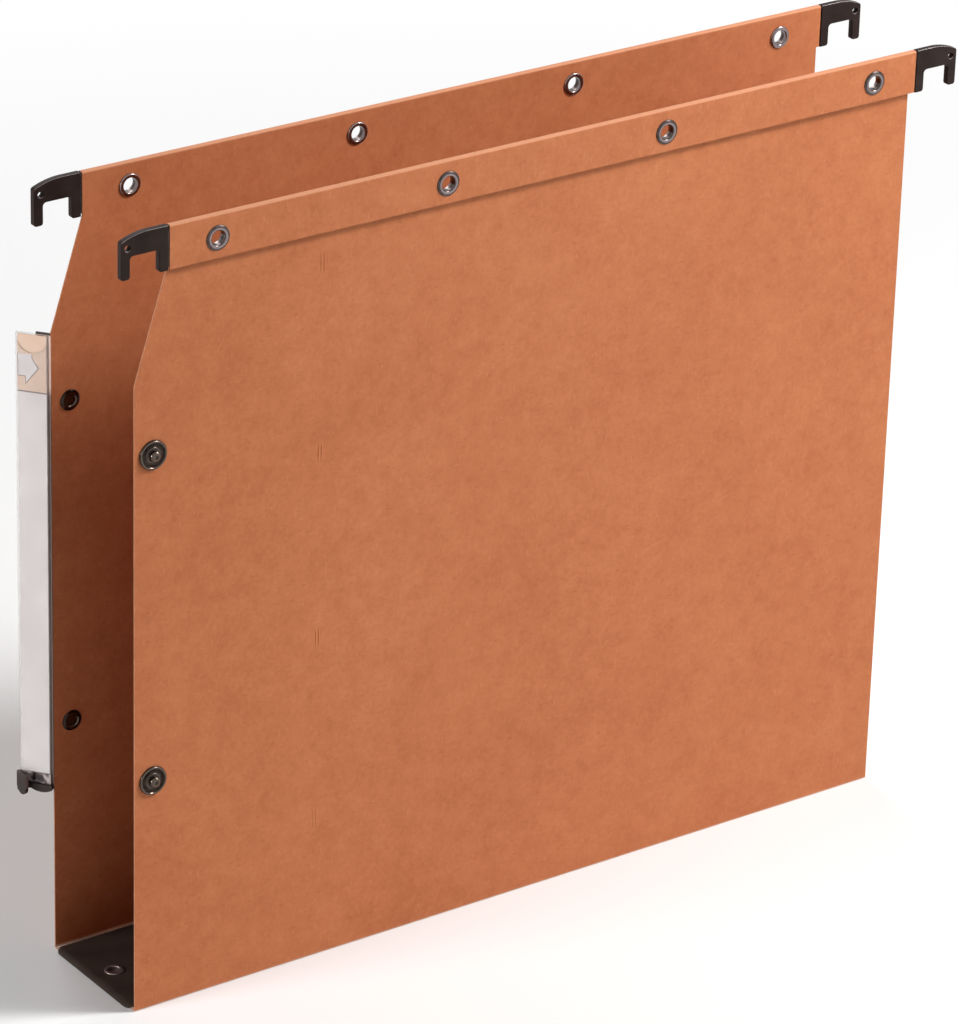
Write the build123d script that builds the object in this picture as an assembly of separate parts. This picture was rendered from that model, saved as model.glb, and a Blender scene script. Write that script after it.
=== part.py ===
from build123d import *
import os

os.makedirs("parts", exist_ok=True)

# Lateral suspension file for cupboard rails, millimetres, +Z up.
# The rails run along X, the front panel is on the -Y side, the label is at the left (-X) end.
# The origin is the middle of the underside of the base.

# Folder
rail_spacing = 330.0  # middle of the left hook slot to the middle of the right one
folder_height = 290.0  # underside of the base to the top of the hems
pocket_width = 52.0  # clear width between the panels
card_thickness = 0.5
overrun = 5.0  # cutters reach this far past what they cut

# Panels
hem_height = 15.5
fold_corner = 0.6  # outer corners of the card where it is folded over the rail
shoulder_reach = 12.5  # left edge of a panel beyond the end of its hem
shoulder_drop = 55.0  # top of the hem down to the corner of the slanted shoulder
right_setback = 1.3  # right edge of a panel short of the end of its hem
crease_gap = 0.1  # slit along a crease, between a panel and the base

# Rails: flat rolled steel with round edges, wrapped by the hems
rail_thickness = 1.2
hem_clearance = 0.05  # between the rail and the card folded over it
hem_cover = 0.6  # hem below the lower edge of its rail
tongue_height = 4.2  # the rail narrows to a tongue inside each hook
tongue_length = 12.0

# Hooks: moulded on the rail ends
hook_gap = 0.5  # between the end of a hem and its hook
hook_wall = 0.5  # plastic on each side of the tongue
tongue_clearance = 0.05
slot_width = 11.0  # takes the cupboard rail
bar_height = 7.8  # plastic above the slot
inner_leg_width = 3.6
outer_leg_width = 3.5
leg_drop = 0.3  # legs below the lower edge of the hem
tip_drop = 2.5  # fall of the top edge at the tip
level_share = 0.38  # share of the hook's length before its top edge falls away
slot_fillet = 1.4
leg_fillet = 1.0
tip_fillet = 1.2
core_hole_diameter = 2.2  # left by the pin that holds the tongue in the mould
core_hole_drop = 4.8
core_hole_inset = 2.6  # tip of the hook to the hole

# Eyelets that clench hem and rail together
eyelet_count = 4
eyelet_end_margin = 18.5  # end of the hem to the first eyelet
eyelet_drop = 0.6  # eyelets below the middle of the rail
eyelet_bore = 5.2
eyelet_wall = 0.3
eyelet_flange_diameter = 9.0
eyelet_curl_diameter = 8.2
eyelet_flange_height = 0.6
eyelet_fit = 0.05  # between a barrel and its hole

# Snap fasteners that chain one folder to the next
snap_inset = 7.2  # left edge of a panel to the fasteners
snap_rise = 88.0  # underside of the base to the lower fastener
snap_drop = 26.0  # corner of the shoulder to the upper fastener
snap_shank_diameter = 2.4
snap_shank_fit = 0.1
post_diameter = 7.6
post_height = 0.8
post_crest_diameter = 5.4
post_dimple_diameter = 3.8
post_dimple_depth = 0.5
stud_diameter = 10.6
stud_rim_diameter = 8.2
stud_rim_height = 0.8
stud_dish_height = 0.45
stud_head_diameter = 4.0
stud_neck_diameter = 3.4
stud_neck_height = 0.9  # dish to the straight side of the head, flaring outwards
stud_band_height = 0.6  # straight side of the head
stud_dome_height = 0.75
stud_crown_diameter = 2.4
stud_bore_depth = 0.9
shank_end_gap = 0.1
socket_diameter = 10.6
socket_height = 3.0
socket_bore = 4.6
socket_floor = 0.5
socket_lip = 0.8
socket_crown_diameter = 7.4
spring_wire = 0.7  # square wire, closed into a ring
spring_fit = 0.05

# Base
plate_thickness = 0.6
plate_gap = 1.8  # plate to the panels
plate_setback = 1.0  # right end of the plate short of the card
lip_thickness = 1.4  # the plate turns down over the left edge of the card
lip_fall = 3.0  # the top of the plate falls over this length to the end of its lip
lip_edge = 0.3  # height of the lip's upright end
lip_corner = 3.0  # round corners of the plate at its lip
rivet_inset = 8.0  # ends of the card to the rivets
rivet_bore = 4.4
rivet_wall = 0.3
rivet_flange_diameter = 6.8
rivet_flange_height = 0.4
rivet_foot_diameter = 6.8
rivet_foot_height = 0.25
rivet_floor = 0.4  # closed lower end of the rivet
rivet_fit = 0.05

# Label holder on the back panel: the label stands at a slant to the panel
label_slant = 51.0  # degrees between the label and the panel
label_rise = 65.0  # underside of the base to the lower end of the sleeve
label_drop = 1.0  # corner of the shoulder to the upper end of the sleeve
wing_width = 15.0
wing_thickness = 0.8
backing_width = 5.2
backing_rise = 0.5  # backing above the sleeve
sleeve_offset = 0.7  # spine left bare between the panel and the sleeve
edge_cover = 0.3  # spine over the cut edge of the panel
sleeve_wall = 0.25
label_width = 10.3
label_thickness = 0.3
label_side_clearance = 0.25
label_face_clearance = 0.1
label_seat = 4.0  # lower end of the sleeve to the label
label_top_gap = 0.4  # top of the label below the top of the sleeve
notch_depth = 7.0  # thumb notch in the front of the sleeve
foot_height = 3.4
foot_front = 1.0  # foot in front of the sleeve
foot_end = 0.6  # foot past the outer edge of the sleeve
foot_arch = 1.5  # rise of the foot's lower edge from its outer end to its waist
foot_hollow = 0.3  # hollow of the lower edge outside the waist
foot_bulge = 1.0  # bulge of the lower edge between the waist and the panel
waist_share = 0.6  # share of the foot's length between the panel and its waist
paddle_width = 6.0
paddle_height = 7.9
paddle_thickness = 1.1
paddle_rise = 4.0  # top of the finger tab above the lower end of the sleeve
paddle_past = 0.4  # finger tab beyond the end of the foot
paddle_neck = 3.2  # web that joins the finger tab to the foot

# Places that follow from those sizes
hem_half = rail_spacing / 2 - slot_width / 2 - inner_leg_width - hook_gap
panel_left = hem_half + shoulder_reach
panel_right = hem_half - right_setback
hem_bottom = folder_height - hem_height
shoulder_height = folder_height - shoulder_drop
fold_inner = rail_thickness / 2 + hem_clearance
fold_outer = fold_inner + card_thickness
inner_face = pocket_width / 2
outer_face = inner_face + card_thickness
rail_offset = inner_face + fold_outer
hem_face = inner_face + 2 * fold_outer
crease_height = card_thickness / 2
rail_top = folder_height - card_thickness - hem_clearance
rail_height = rail_top - hem_bottom - hem_cover
rail_middle = rail_top - rail_height / 2
hook_start = hem_half + hook_gap
hook_length = inner_leg_width + slot_width + outer_leg_width
hook_thickness = rail_thickness + 2 * (tongue_clearance + hook_wall)
hook_depth = hem_height + leg_drop
tongue_middle = folder_height - bar_height / 2
eyelet_pitch = 2 * (hem_half - eyelet_end_margin) / (eyelet_count - 1)
eyelet_places = [index * eyelet_pitch - hem_half + eyelet_end_margin for index in range(eyelet_count)]
eyelet_height = rail_middle - eyelet_drop
eyelet_radius = eyelet_bore / 2 + eyelet_wall
snap_x = snap_inset - panel_left
snap_places = [snap_rise, shoulder_height - snap_drop]
shank_radius = snap_shank_diameter / 2
shank_hole = shank_radius + snap_shank_fit
wing_back = outer_face + wing_thickness
sleeve_top = shoulder_height - label_drop
sleeve_width = label_width + 2 * (label_side_clearance + sleeve_wall)
sleeve_depth = label_thickness + 2 * (label_face_clearance + sleeve_wall)
plate_top = card_thickness + plate_thickness
rivet_radius = rivet_bore / 2 + rivet_wall
rivet_places = [rivet_inset - panel_left, panel_right - rivet_inset]


def block(x_range, y_range, z_range):
    # Box between pairs of coordinates.
    spans = (x_range, y_range, z_range)
    sizes = [high - low for low, high in spans]
    middles = [(high + low) / 2 for low, high in spans]
    return Pos(*middles) * Box(*sizes)


def bar_along_y(x, z, radius, y_range):
    # Round bar or drill along Y.
    length = y_range[1] - y_range[0]
    middle = (y_range[0] + y_range[1]) / 2
    return Pos(x, middle, z) * Rot(90, 0, 0) * Cylinder(radius, length)


def turned(edges):
    # Solid turned about Z from edges drawn as radius and height.
    return revolve(Plane.XZ * make_face(edges), Axis.Z)


def facing_front(x, y, z):
    # Puts a turned piece with its top towards -Y.
    return Pos(x, y, z) * Rot(90, 0, 0)


def facing_back(x, y, z):
    # Puts a turned piece with its top towards +Y.
    return Pos(x, y, z) * Rot(-90, 0, 0)


def to_back(shape):
    return mirror(shape, about=Plane.XZ)


def to_left(shape):
    return mirror(shape, about=Plane.YZ)


# Front panel: one card section, round at the crease and folded over the rail, trimmed to its outline
def card_section():
    flap_inner = hem_face - card_thickness
    throat_height = folder_height - card_thickness
    sheet = Polyline(
        (-inner_face, crease_height),
        (-inner_face, folder_height),
        (-hem_face, folder_height),
        (-hem_face, hem_bottom),
        (-flap_inner, hem_bottom),
        (-flap_inner, throat_height),
        (-outer_face, throat_height),
        (-outer_face, crease_height),
    )
    crease = ThreePointArc(
        (-outer_face, crease_height), (-(inner_face + outer_face) / 2, 0), (-inner_face, crease_height)
    )
    face = make_face([sheet, crease])
    rounds = [
        (-inner_face, folder_height, fold_corner),
        (-hem_face, folder_height, fold_corner),
        (-flap_inner, throat_height, fold_corner - card_thickness),
        (-outer_face, throat_height, fold_corner - card_thickness),
    ]
    for y, z, radius in rounds:
        corner = face.vertices().sort_by_distance((y, z, 0))[0]
        face = fillet(corner, radius)
    return face


def shoulder_cutter():
    fall = (hem_bottom - shoulder_height) / shoulder_reach
    left = panel_left + overrun
    top = folder_height + overrun
    low = shoulder_height - overrun * fall
    outline = Polyline((-hem_half, hem_bottom), (-hem_half, top), (-left, top), (-left, low), close=True)
    return extrude(Plane.XZ.offset(-overrun) * make_face(outline), hem_face + 2 * overrun)


def make_front_panel():
    length = panel_left + hem_half
    panel = extrude(Plane.YZ.offset(-panel_left) * card_section(), length)
    panel -= shoulder_cutter()
    panel -= block((panel_right, hem_half + overrun), (-hem_face - overrun, 0), (-overrun, hem_bottom))
    for x in eyelet_places:
        panel -= bar_along_y(x, eyelet_height, eyelet_radius + eyelet_fit, (-hem_face - overrun, 0))
    for z in snap_places:
        panel -= bar_along_y(snap_x, z, shank_hole, (-hem_face - overrun, 0))
    return panel


# Rail: strip with round edges, a tongue at each end and holes for the eyelets
def make_front_rail():
    section = Pos(-rail_offset, rail_middle) * SlotOverall(rail_height, rail_thickness, rotation=90)
    rail = extrude(Plane.YZ.offset(-hem_half) * section, 2 * hem_half)
    reach = hem_half + tongue_length
    rail += block(
        (-reach, reach),
        (-rail_offset - rail_thickness / 2, -rail_offset + rail_thickness / 2),
        (tongue_middle - tongue_height / 2, tongue_middle + tongue_height / 2),
    )
    for x in eyelet_places:
        rail -= bar_along_y(x, eyelet_height, eyelet_radius + eyelet_fit, (-hem_face, 0))
    return rail


# Hook: two legs and a falling top edge, hollow for the tongue of the rail
def hook_outline():
    level = hook_length * level_share
    slot_end = inner_leg_width + slot_width
    top = Line((0, 0), (level, 0))
    fall = TangentArc((level, 0), (hook_length, -tip_drop), tangent=(1, 0))
    legs = Polyline(
        (hook_length, -tip_drop),
        (hook_length, -hook_depth),
        (slot_end, -hook_depth),
        (slot_end, -bar_height),
        (inner_leg_width, -bar_height),
        (inner_leg_width, -hook_depth),
        (0, -hook_depth),
        (0, 0),
    )
    face = make_face([top, fall, legs])
    rounds = [
        (hook_length, -tip_drop, tip_fillet),
        (slot_end, -bar_height, slot_fillet),
        (inner_leg_width, -bar_height, slot_fillet),
        (hook_length, -hook_depth, leg_fillet),
        (slot_end, -hook_depth, leg_fillet),
        (inner_leg_width, -hook_depth, leg_fillet),
    ]
    for x, z, radius in rounds:
        corner = face.vertices().sort_by_distance((x, z, 0))[0]
        face = fillet(corner, radius)
    return face


def make_front_right_hook():
    inner_side = rail_offset - hook_thickness / 2
    plane = Plane.XZ.offset(inner_side)
    hook = extrude(plane * (Pos(hook_start, folder_height) * hook_outline()), hook_thickness)
    pocket_half = tongue_height / 2 + tongue_clearance
    pocket_depth = rail_thickness / 2 + tongue_clearance
    hook -= block(
        (hook_start - overrun, hem_half + tongue_length + tongue_clearance),
        (-rail_offset - pocket_depth, -rail_offset + pocket_depth),
        (tongue_middle - pocket_half, tongue_middle + pocket_half),
    )
    hole_x = hook_start + hook_length - core_hole_inset
    hole_z = folder_height - core_hole_drop
    hook -= bar_along_y(hole_x, hole_z, core_hole_diameter / 2, (-hem_face - overrun, 0))
    return hook


# Eyelet: tube with a peaked flange outside the hem and a curl inside it
def flange_ring(bore, tube, flange, height):
    # Radii of bore, tube and flange; the ring rises from the face that it clamps.
    crest = (tube + flange) / 2
    return turned(Polyline((bore, 0), (crest, height), (flange, 0), close=True))


def make_eyelet():
    grip = hem_face - inner_face
    bore = eyelet_bore / 2
    tube = turned(Polyline((bore, 0), (eyelet_radius, 0), (eyelet_radius, -grip), (bore, -grip), close=True))
    flange, curl = [
        flange_ring(bore, eyelet_radius, diameter / 2, eyelet_flange_height)
        for diameter in (eyelet_flange_diameter, eyelet_curl_diameter)
    ]
    return tube + flange + Pos(0, 0, -grip) * mirror(curl, about=Plane.XY)


def make_front_eyelets():
    eyelet = make_eyelet()
    return Compound([facing_front(x, -hem_face, eyelet_height) * eyelet for x in eyelet_places])


# Snap fastener: dished stud outside the front panel, posts inside the panels, sprung socket outside the back
def make_stud():
    radius = stud_diameter / 2
    head = stud_head_diameter / 2
    neck = stud_neck_diameter / 2
    band_bottom = stud_dish_height + stud_neck_height
    band_top = band_bottom + stud_band_height
    top = band_top + stud_dome_height
    outline = Polyline(
        (0, stud_bore_depth),
        (shank_hole, stud_bore_depth),
        (shank_hole, 0),
        (radius, 0),
        (stud_rim_diameter / 2, stud_rim_height),
        (neck, stud_dish_height),
        (head, band_bottom),
        (head, band_top),
        (stud_crown_diameter / 2, top),
        (0, top),
        close=True,
    )
    return turned(outline)


def make_post(stack):
    # Raised disc with a dimple and a shank through a stack of layers, its disc upwards.
    outline = Polyline(
        (0, -stack),
        (shank_radius, -stack),
        (shank_radius, 0),
        (post_diameter / 2, 0),
        (post_crest_diameter / 2, post_height),
        (post_dimple_diameter / 2, post_height - post_dimple_depth),
        (0, post_height - post_dimple_depth),
        close=True,
    )
    return turned(outline)


def make_socket():
    bore = socket_bore / 2
    cavity = bore + spring_wire + 2 * spring_fit
    cavity_top = socket_height - socket_lip
    outline = Polyline(
        (shank_hole, 0),
        (socket_diameter / 2, 0),
        (socket_crown_diameter / 2, socket_height),
        (bore, socket_height),
        (bore, cavity_top),
        (cavity, cavity_top),
        (cavity, socket_floor),
        (shank_hole, socket_floor),
        close=True,
    )
    return turned(outline)


def make_spring():
    inner = socket_bore / 2 + spring_fit
    middle = (socket_floor + socket_height - socket_lip) / 2
    low = middle - spring_wire / 2
    high = middle + spring_wire / 2
    outer = inner + spring_wire
    return turned(Polyline((inner, low), (outer, low), (outer, high), (inner, high), close=True))


# Base: card strip between the creases, black stiffener with a turned lip, semi-tubular rivets
def make_base_card():
    half = inner_face - crease_gap
    card = block((-panel_left, panel_right), (-half, half), (0, card_thickness))
    for x in rivet_places:
        card -= Pos(x, 0, 0) * Cylinder(rivet_radius + rivet_fit, overrun)
        card -= Pos(x, 0, 0) * Cylinder(rivet_foot_diameter / 2 + rivet_fit, 2 * rivet_foot_height)
    return card


def make_base_plate():
    half = inner_face - plate_gap
    left = panel_left + lip_thickness
    right = panel_right - plate_setback
    underside = Polyline(
        (-left, lip_edge),
        (-left, 0),
        (-panel_left, 0),
        (-panel_left, card_thickness),
        (right, card_thickness),
        (right, plate_top),
        (lip_fall - left, plate_top),
    )
    fall = TangentArc((lip_fall - left, plate_top), (-left, lip_edge), tangent=(-1, 0))
    face = make_face([underside, fall])
    plate = extrude(Plane.XZ.offset(-half) * face, 2 * half)
    span = Pos((right - left) / 2, 0) * Rectangle(left + right, 2 * half)
    lip_corners = span.vertices().sort_by(Axis.X)[:2]
    plate &= extrude(fillet(lip_corners, lip_corner), plate_top)
    for x in rivet_places:
        plate -= Pos(x, 0, plate_top) * Cylinder(rivet_radius + rivet_fit, overrun)
    return plate


def make_rivet():
    # Hollow shank through plate and card, flange on the plate, closed foot pressed into the card.
    bore = rivet_bore / 2
    foot = rivet_foot_diameter / 2
    outline = Polyline(
        (0, 0),
        (foot, 0),
        (foot, rivet_foot_height),
        (rivet_radius, rivet_foot_height),
        (rivet_radius, plate_top),
        (bore, plate_top),
        (bore, rivet_floor),
        (0, rivet_floor),
        close=True,
    )
    flange = flange_ring(bore, rivet_radius, rivet_flange_diameter / 2, rivet_flange_height)
    return turned(outline) + Pos(0, 0, plate_top) * flange


# Label holder, drawn flat: x runs along the label away from the panel, y points out of its face
label_place = Pos(-panel_left, outer_face, 0) * Rot(0, 0, 180 - label_slant)


def make_label_carrier():
    wing = block((-panel_left, wing_width - panel_left), (outer_face, wing_back), (label_rise, sleeve_top))
    for z in snap_places:
        wing -= bar_along_y(snap_x, z, shank_hole, (0, wing_back + overrun))
    backing = block((0, backing_width), (-wing_thickness, 0), (label_rise, sleeve_top + backing_rise))
    cover = block(
        (-panel_left - edge_cover, -panel_left),
        (inner_face, outer_face + edge_cover),
        (label_rise, sleeve_top),
    )
    return wing + cover + label_place * backing + make_foot()


def make_foot():
    # Arm under the sleeve, hollow near its outer end and bulging near the panel, and a finger tab across it.
    length = sleeve_offset + sleeve_width + foot_end
    front = sleeve_depth + foot_front
    bottom = label_rise - foot_height
    waist_out = length * waist_share
    waist = bottom + foot_arch
    hollow_crest = ((length + waist_out) / 2, (bottom + waist) / 2 + foot_hollow)
    sides = Polyline((0, waist), (0, label_rise), (length, label_rise), (length, bottom))
    hollow = ThreePointArc((length, bottom), hollow_crest, (waist_out, waist))
    bulge = ThreePointArc((waist_out, waist), (waist_out / 2, waist - foot_bulge), (0, waist))
    arm = extrude(Plane.XZ.offset(-front) * make_face([sides, hollow, bulge]), front + wing_thickness)
    corner = (label_place * Pos(length, front, label_rise)).position
    tab_top = label_rise + paddle_rise
    tab_waist = tab_top - paddle_height + paddle_width / 2
    far = corner.Y + paddle_past
    near = far - paddle_width
    tab_sides = Polyline((near, tab_waist), (near, tab_top), (far, tab_top), (far, tab_waist))
    tab_end = (far - paddle_width / 2, tab_top - paddle_height)
    tab_round = ThreePointArc((far, tab_waist), tab_end, (near, tab_waist))
    tab = extrude(Plane.YZ.offset(corner.X) * make_face([tab_sides, tab_round]), paddle_thickness)
    neck = block((corner.X, corner.X + paddle_neck), (far - paddle_thickness, far), (waist, label_rise))
    return label_place * arm + tab + neck


def make_label_sleeve():
    outer_edge = sleeve_offset + sleeve_width
    sleeve = block((sleeve_offset, outer_edge), (0, sleeve_depth), (label_rise, sleeve_top))
    sleeve -= block(
        (sleeve_offset + sleeve_wall, outer_edge - sleeve_wall),
        (sleeve_wall, sleeve_depth - sleeve_wall),
        (label_rise - overrun, sleeve_top + overrun),
    )
    left = sleeve_offset + 2 * sleeve_wall
    right = outer_edge - 2 * sleeve_wall
    above = sleeve_top + overrun
    sides = Polyline((right, sleeve_top), (right, above), (left, above), (left, sleeve_top))
    notch_bottom = ((left + right) / 2, sleeve_top - notch_depth)
    thumb = ThreePointArc((left, sleeve_top), notch_bottom, (right, sleeve_top))
    front = Plane.XZ.offset(-sleeve_depth - overrun)
    sleeve -= extrude(front * make_face([sides, thumb]), overrun + sleeve_wall + label_face_clearance / 2)
    return label_place * sleeve


def make_label_strip():
    start = sleeve_offset + sleeve_wall + label_side_clearance
    depth = sleeve_wall + label_face_clearance
    strip = block(
        (start, start + label_width),
        (depth, depth + label_thickness),
        (label_rise + label_seat, sleeve_top - label_top_gap),
    )
    return label_place * strip


front_panel = make_front_panel()
front_rail = make_front_rail()
front_right_hook = make_front_right_hook()
front_left_hook = to_left(front_right_hook)
front_eyelets = make_front_eyelets()
stud = make_stud()
front_post = make_post(card_thickness + stud_bore_depth - shank_end_gap)
back_post = make_post(card_thickness + wing_thickness + socket_floor)
socket = make_socket()
spring = make_spring()
rivet = make_rivet()

nodes = {
    "base_card": make_base_card(),
    "base_plate": make_base_plate(),
    "base_rivets": Compound([Pos(x, 0, 0) * rivet for x in rivet_places]),
    "front_panel": front_panel,
    "front_rail": front_rail,
    "front_left_hook": front_left_hook,
    "front_right_hook": front_right_hook,
    "front_eyelets": front_eyelets,
    "front_snap_studs": Compound([facing_front(snap_x, -outer_face, z) * stud for z in snap_places]),
    "front_snap_posts": Compound([facing_back(snap_x, -inner_face, z) * front_post for z in snap_places]),
    "back_panel": to_back(front_panel),
    "back_rail": to_back(front_rail),
    "back_left_hook": to_back(front_left_hook),
    "back_right_hook": to_back(front_right_hook),
    "back_eyelets": to_back(front_eyelets),
    "back_snap_posts": Compound([facing_front(snap_x, inner_face, z) * back_post for z in snap_places]),
    "back_snap_sockets": Compound([facing_back(snap_x, wing_back, z) * socket for z in snap_places]),
    "back_socket_springs": Compound([facing_back(snap_x, wing_back, z) * spring for z in snap_places]),
    "label_carrier": make_label_carrier(),
    "label_sleeve": make_label_sleeve(),
    "label_strip": make_label_strip(),
}

for node, shape in nodes.items():
    export_step(shape, f"parts/{node}.step")
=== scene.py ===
import math

import bmesh
import bpy
from mathutils import Matrix, Vector


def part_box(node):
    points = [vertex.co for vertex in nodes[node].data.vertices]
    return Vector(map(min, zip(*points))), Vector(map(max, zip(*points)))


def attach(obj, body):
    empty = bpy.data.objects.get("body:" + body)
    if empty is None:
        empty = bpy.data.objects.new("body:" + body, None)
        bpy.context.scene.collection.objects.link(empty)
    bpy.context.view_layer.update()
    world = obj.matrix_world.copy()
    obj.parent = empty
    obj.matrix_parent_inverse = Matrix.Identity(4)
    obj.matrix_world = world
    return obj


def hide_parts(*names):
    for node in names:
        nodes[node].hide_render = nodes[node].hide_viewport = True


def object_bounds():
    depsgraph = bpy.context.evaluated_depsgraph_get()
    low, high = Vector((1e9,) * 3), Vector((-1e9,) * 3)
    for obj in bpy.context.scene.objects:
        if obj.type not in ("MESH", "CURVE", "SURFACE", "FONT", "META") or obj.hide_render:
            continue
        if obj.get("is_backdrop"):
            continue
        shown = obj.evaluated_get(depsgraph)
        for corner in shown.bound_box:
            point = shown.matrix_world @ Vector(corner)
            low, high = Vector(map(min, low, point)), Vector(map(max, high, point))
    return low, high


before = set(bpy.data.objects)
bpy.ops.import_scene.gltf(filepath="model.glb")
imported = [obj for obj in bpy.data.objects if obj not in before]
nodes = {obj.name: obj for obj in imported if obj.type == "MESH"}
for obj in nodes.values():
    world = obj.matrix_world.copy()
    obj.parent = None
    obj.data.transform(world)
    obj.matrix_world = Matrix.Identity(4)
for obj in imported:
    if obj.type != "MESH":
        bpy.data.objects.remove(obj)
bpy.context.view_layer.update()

mm = 0.001  # one millimetre in scene units
scene = bpy.context.scene


# Shader and geometry trees

noiseLow, noiseHigh = 0.3, 0.7  # nearly all values of a noise texture lie between these


def toLinear(hexText):
    shades = [int(hexText[i:i + 2], 16) / 255 for i in (0, 2, 4)]
    bright = [s / 12.92 if s <= 0.04045 else ((s + 0.055) / 1.055) ** 2.4 for s in shades]
    return (*bright, 1.0)


def addNode(tree, kind, values=None, stops=(), **settings):
    # A value is a number, a socket or a whole node; stops are a ramp's places and colours
    made = tree.nodes.new(kind)
    for name, value in settings.items():
        setattr(made, name, value)
    for name, value in (values or {}).items():
        source = value.outputs[0] if isinstance(value, bpy.types.Node) else value
        if isinstance(source, bpy.types.NodeSocket):
            tree.links.new(source, made.inputs[name])
        else:
            made.inputs[name].default_value = source
    for spot, hexText in stops:
        made.color_ramp.elements.new(spot).color = toLinear(hexText)
    if stops:  # the two stops that a new ramp starts with
        made.color_ramp.elements.remove(made.color_ramp.elements[0])
        made.color_ramp.elements.remove(made.color_ramp.elements[-1])
    return made


def newMaterial(name):
    material = bpy.data.materials.new(name)
    material.use_nodes = True
    tree = material.node_tree
    tree.nodes.clear()
    return material, tree, addNode(tree, "ShaderNodeTexCoord").outputs["Object"]


def perMm(size):  # texture scale that gives features of this many millimetres
    return 1 / (size * mm)


# Kraft pressboard

cardLook = {
    "face": ("B36842", "BE734B", "C87E54"), "edge": ("A06C50", "AC785C", "B8866C"),
    "shadesAt": (0.3, 0.5, 0.7), "smooth": 0.66, "rough": 0.8, "gloss": 0.15,
    "clouding": ((45.0, 0.3), (6.0, 0.4), (1.8, 0.3)),  # mm and share of each size of cloud
    "paleFibre": "D6976F", "darkFibre": "8E4A2C",
    "fibreWide": 0.7, "fibreLong": 2.6,  # mm, some ten times too coarse, so that it shows
    "fibreFrom": 0.62, "fibreTo": 0.76, "fibreShare": 0.24, "fibreRise": 2.0,
    "grain": 0.4, "relief": 0.03, "bump": 0.4,  # mm, mm and share; the grain is too coarse as well
    "creaseHighlightAndFoot": "FFE6D2", "foldHighlight": "FCBE9A",  # painted highlight inside the crease, with a paler foot, and painted highlight on the top of the soft fold
    "creaseSide": 25.15, "creaseHalf": 0.95, "creaseTop": 1.1,  # mm, the inside of the crease, where the highlight is painted
    "creaseFade": 0.2,  # share of its top, up and down, over which it fades
    "foldStarts": 0.8, "foldFull": 0.3, "foldShare": 0.4,  # mm below the top of the hem, and share of its painted highlight
    "footLow": 0.1, "footHigh": 0.6, "footShare": 0.5,  # mm, the outside of the crease, and share of the paler foot
}


# Painted highlight where light from above falls inside the crease and on the hem's folded top, and a paler
# foot
def creaseFoldHighlightsAndFoot(tree, place, colour):
    look = cardLook
    spot = addNode(tree, "ShaderNodeSeparateXYZ", {0: place}).outputs
    side = addNode(tree, "ShaderNodeMath", {0: spot["Y"]}, operation="ABSOLUTE")
    inside = addNode(tree, "ShaderNodeMath", {
        0: side, 1: look["creaseSide"] * mm, 2: look["creaseHalf"] * mm}, operation="COMPARE")
    top = look["creaseTop"] * mm
    crease = addNode(tree, "ShaderNodeMapRange", {
        0: spot["Z"], 1: (1 - look["creaseFade"]) * top, 2: (1 + look["creaseFade"]) * top,
        3: inside, 4: 0.0})
    foot = addNode(tree, "ShaderNodeMapRange", {
        0: spot["Z"], 1: look["footLow"] * mm, 2: look["footHigh"] * mm, 3: look["footShare"], 4: 0.0})
    creaseHighlightAndFoot = addNode(tree, "ShaderNodeMath", {0: crease, 1: foot}, operation="MAXIMUM")
    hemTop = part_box("front_panel")[1].z
    fold = addNode(tree, "ShaderNodeMapRange", {
        0: spot["Z"], 1: hemTop - look["foldStarts"] * mm, 2: hemTop - look["foldFull"] * mm,
        4: look["foldShare"]})
    for share, tone in ((fold, "foldHighlight"), (creaseHighlightAndFoot, "creaseHighlightAndFoot")):
        colour = addNode(tree, "ShaderNodeMixRGB",
                         {"Fac": share, "Color1": colour, "Color2": toLinear(look[tone])})
    return colour


def pressboard(name, shades, withCreaseFoldAndFoot):
    # Dyed through and calendered between rollers: matt, cloudy, with a felt of short pale and dark fibres
    look = cardLook
    material, tree, place = newMaterial(name)
    cloud = 0.0
    for size, share in look["clouding"]:
        noise = addNode(tree, "ShaderNodeTexNoise", {"Vector": place, "Scale": perMm(size), "Detail": 3.0})
        cloud = addNode(tree, "ShaderNodeMath", {0: noise, 1: share, 2: cloud}, operation="MULTIPLY_ADD")
    colour = addNode(tree, "ShaderNodeValToRGB", {"Fac": cloud}, zip(look["shadesAt"], shades))
    wide, long = perMm(look["fibreWide"]), perMm(look["fibreLong"])
    felt = addNode(tree, "ShaderNodeTexNoise",
                   {"Vector": place, "Scale": perMm(look["grain"]), "Detail": 2.0})
    for tone, stretch in (("paleFibre", (wide, wide, long)), ("darkFibre", (long, long, wide))):
        drawn = addNode(tree, "ShaderNodeMapping", {"Vector": place, "Scale": stretch})
        strand = addNode(tree, "ShaderNodeTexNoise", {"Vector": drawn, "Scale": 1.0, "Detail": 1.0})
        fibre = addNode(tree, "ShaderNodeMapRange", {
            0: strand, 1: look["fibreFrom"], 2: look["fibreTo"], 4: look["fibreShare"]})
        colour = addNode(tree, "ShaderNodeMixRGB",
                         {"Fac": fibre, "Color1": colour, "Color2": toLinear(look[tone])})
        felt = addNode(tree, "ShaderNodeMath",
                       {0: fibre, 1: look["fibreRise"], 2: felt}, operation="MULTIPLY_ADD")
    # painted highlights in the crease and on the fold, and the paler foot
    if withCreaseFoldAndFoot:
        colour = creaseFoldHighlightsAndFoot(tree, place, colour)
    rough = addNode(tree, "ShaderNodeMapRange",
                    {0: cloud, 1: noiseLow, 2: noiseHigh, 3: look["smooth"], 4: look["rough"]})
    bump = addNode(tree, "ShaderNodeBump",
                   {"Strength": look["bump"], "Distance": look["relief"] * mm, "Height": felt})
    shader = addNode(tree, "ShaderNodeBsdfPrincipled", {
        "Base Color": colour, "Roughness": rough, "Normal": bump, "Specular IOR Level": look["gloss"]})
    addNode(tree, "ShaderNodeOutputMaterial", {"Surface": shader})
    return material


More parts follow.
